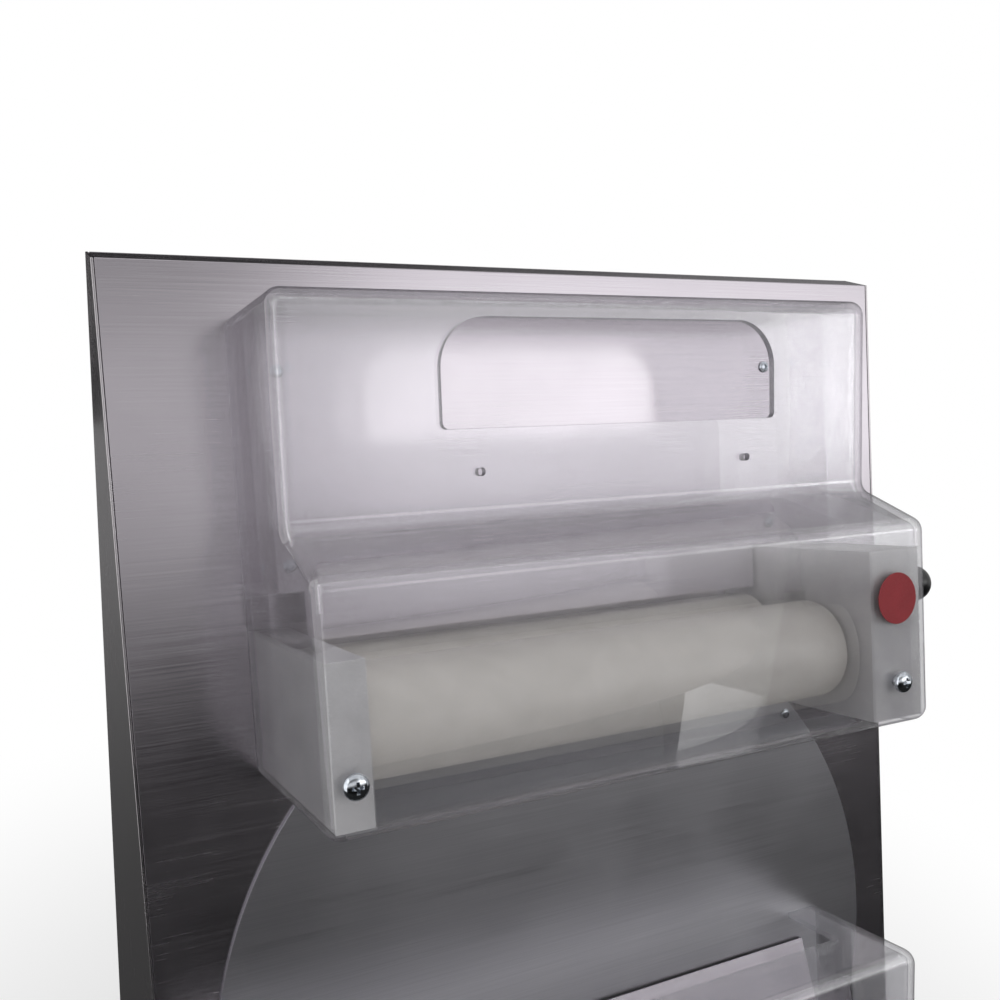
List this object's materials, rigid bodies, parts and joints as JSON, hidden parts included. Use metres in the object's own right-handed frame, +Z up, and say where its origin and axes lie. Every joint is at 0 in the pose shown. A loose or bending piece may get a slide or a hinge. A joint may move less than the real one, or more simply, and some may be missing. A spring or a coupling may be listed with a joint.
{
  "type": "dough sheeter",
  "caption": "Motor-driven dough sheeter: leaning steel cabinet, upper and lower roller heads under clear hoods, round slide plate between them, gap levers and push buttons.",
  "frame": {"origin": "centre of the whole machine's footprint, on the surface that its feet stand on", "axes": "+Z up, -Y towards the operator at the leaning front, +X to the operator's right, where the levers and buttons are"},
  "size_m": [0.5494, 0.418, 0.7917],
  "materials": {
    "stainless": "fine horizontal brushed grain",
    "dark_stainless": "darker brushed grain",
    "blasted_aluminium": "fine bead-blasted",
    "clear_plastic": "clear polished",
    "roller_plastic": "off-white satin",
    "turned_steel": "turned",
    "plated_steel": "bright plated",
    "black_plastic": "black satin gloss",
    "foot_rubber": "black matte",
    "start_green": "green gloss",
    "stop_red": "red gloss",
    "motor_paint": "dark grey paint",
    "chain_steel": "oiled dark steel"
  },
  "bodies": {
    "cabinet": {"base_tray": "stainless", "cable_gland": "black_plastic", "drive_chain": "chain_steel", "foot_front_left": "foot_rubber", "foot_front_right": "foot_rubber", "foot_rear_left": "foot_rubber", "foot_rear_right": "foot_rubber", "front_panel": "stainless", "gear_motor": "motor_paint", "rear_cover": "stainless", "receiving_shelf": "stainless", "side_left": "stainless", "side_right": "stainless", "slide_plate": "dark_stainless", "switch_plate": "black_plastic", "upper_feed_chute": "stainless", "upper_front_scraper": "stainless", "upper_rear_scraper": "stainless", "upper_gear_case": "blasted_aluminium", "upper_gear_cover": "blasted_aluminium", "upper_hood": "clear_plastic", "upper_hood_screw_left": "plated_steel", "upper_hood_screw_right": "plated_steel", "upper_left_block": "blasted_aluminium", "lower_feed_chute": "stainless", "lower_front_scraper": "stainless", "lower_rear_scraper": "stainless", "lower_gear_case": "blasted_aluminium", "lower_gear_cover": "blasted_aluminium", "lower_hood": "clear_plastic", "lower_hood_screw_left": "plated_steel", "lower_hood_screw_right": "plated_steel", "lower_left_block": "blasted_aluminium"},
    "upper_rear_spindle": {"upper_rear_roller": "roller_plastic", "upper_rear_shaft": "turned_steel", "upper_rear_gear": "turned_steel"},
    "upper_slide_bearings": {"upper_left_bearing": "blasted_aluminium", "upper_right_bearing": "blasted_aluminium"},
    "upper_front_spindle": {"upper_front_roller": "roller_plastic", "upper_front_shaft": "turned_steel", "upper_front_gear": "turned_steel"},
    "upper_gap_handle": {"upper_gap_shaft": "turned_steel", "upper_gap_lever": "plated_steel", "upper_gap_knob": "black_plastic"},
    "upper_drive_shaft": {"upper_jackshaft": "turned_steel"},
    "lower_rear_spindle": {"lower_rear_roller": "roller_plastic", "lower_rear_shaft": "turned_steel", "lower_rear_gear": "turned_steel"},
    "lower_slide_bearings": {"lower_left_bearing": "blasted_aluminium", "lower_right_bearing": "blasted_aluminium"},
    "lower_front_spindle": {"lower_front_roller": "roller_plastic", "lower_front_shaft": "turned_steel", "lower_front_gear": "turned_steel"},
    "lower_gap_handle": {"lower_gap_shaft": "turned_steel", "lower_gap_lever": "plated_steel", "lower_gap_knob": "black_plastic"},
    "lower_drive_shaft": {"lower_jackshaft": "turned_steel"},
    "motor_shaft": {"motor_output": "turned_steel"},
    "start_plunger": {"start_button": "start_green"},
    "stop_plunger": {"stop_button": "stop_red"}
  },
  "joints": [
    {"name": "lower_rear_spin", "type": "hinge", "parent": "cabinet", "child": "lower_rear_spindle", "pos_m": [0, -0.0747, 0.17547], "axis": [1, 0, 0], "continuous": true},
    {"name": "lower_gap_turn", "type": "hinge", "parent": "cabinet", "child": "lower_gap_handle", "pos_m": [0, -0.1323, 0.19644], "axis": [1, 0, 0], "range_deg": [0, 83.62]},
    {"name": "lower_gap_slide", "type": "slide", "parent": "cabinet", "child": "lower_slide_bearings", "axis": [0, -0.9397, 0.342], "range_m": [0, 0.003]},
    {"name": "lower_front_spin", "type": "hinge", "parent": "lower_slide_bearings", "child": "lower_front_spindle", "pos_m": [0, -0.13089, 0.19593], "axis": [1, 0, 0], "continuous": true},
    {"name": "lower_drive_spin", "type": "hinge", "parent": "cabinet", "child": "lower_drive_shaft", "pos_m": [0, -0.0185, 0.15502], "axis": [1, 0, 0], "continuous": true},
    {"name": "upper_rear_spin", "type": "hinge", "parent": "cabinet", "child": "upper_rear_spindle", "pos_m": [0, 0.06946, 0.57155], "axis": [1, 0, 0], "continuous": true},
    {"name": "upper_gap_turn", "type": "hinge", "parent": "cabinet", "child": "upper_gap_handle", "pos_m": [0, 0.01186, 0.59252], "axis": [1, 0, 0], "range_deg": [0, 83.62]},
    {"name": "upper_gap_slide", "type": "slide", "parent": "cabinet", "child": "upper_slide_bearings", "axis": [0, -0.9397, 0.342], "range_m": [0, 0.003]},
    {"name": "upper_front_spin", "type": "hinge", "parent": "upper_slide_bearings", "child": "upper_front_spindle", "pos_m": [0, 0.01327, 0.59201], "axis": [1, 0, 0], "continuous": true},
    {"name": "upper_drive_spin", "type": "hinge", "parent": "cabinet", "child": "upper_drive_shaft", "pos_m": [0, 0.12566, 0.5511], "axis": [1, 0, 0], "continuous": true},
    {"name": "motor_spin", "type": "hinge", "parent": "cabinet", "child": "motor_shaft", "pos_m": [0, 0.06321, 0.31843], "axis": [1, 0, 0], "continuous": true},
    {"name": "start_press", "type": "slide", "parent": "cabinet", "child": "start_plunger", "axis": [-1, 0, 0], "range_m": [0, 0.003], "stiffness_N_per_m": 300},
    {"name": "stop_press", "type": "slide", "parent": "cabinet", "child": "stop_plunger", "axis": [-1, 0, 0], "range_m": [0, 0.003], "stiffness_N_per_m": 300}
  ],
  "couplings": [
    {"joint": "lower_front_spin", "follows": "lower_rear_spin", "ratio": -1},
    {"joint": "lower_drive_spin", "follows": "lower_rear_spin", "ratio": -1},
    {"joint": "upper_rear_spin", "follows": "lower_rear_spin", "ratio": 1},
    {"joint": "upper_front_spin", "follows": "lower_rear_spin", "ratio": -1},
    {"joint": "upper_drive_spin", "follows": "lower_rear_spin", "ratio": -1},
    {"joint": "motor_spin", "follows": "lower_rear_spin", "ratio": -1},
    {"joint": "lower_gap_turn", "follows": "lower_gap_slide", "rad_per_m": 486.48},
    {"joint": "upper_gap_turn", "follows": "upper_gap_slide", "rad_per_m": 486.48}
  ]
}
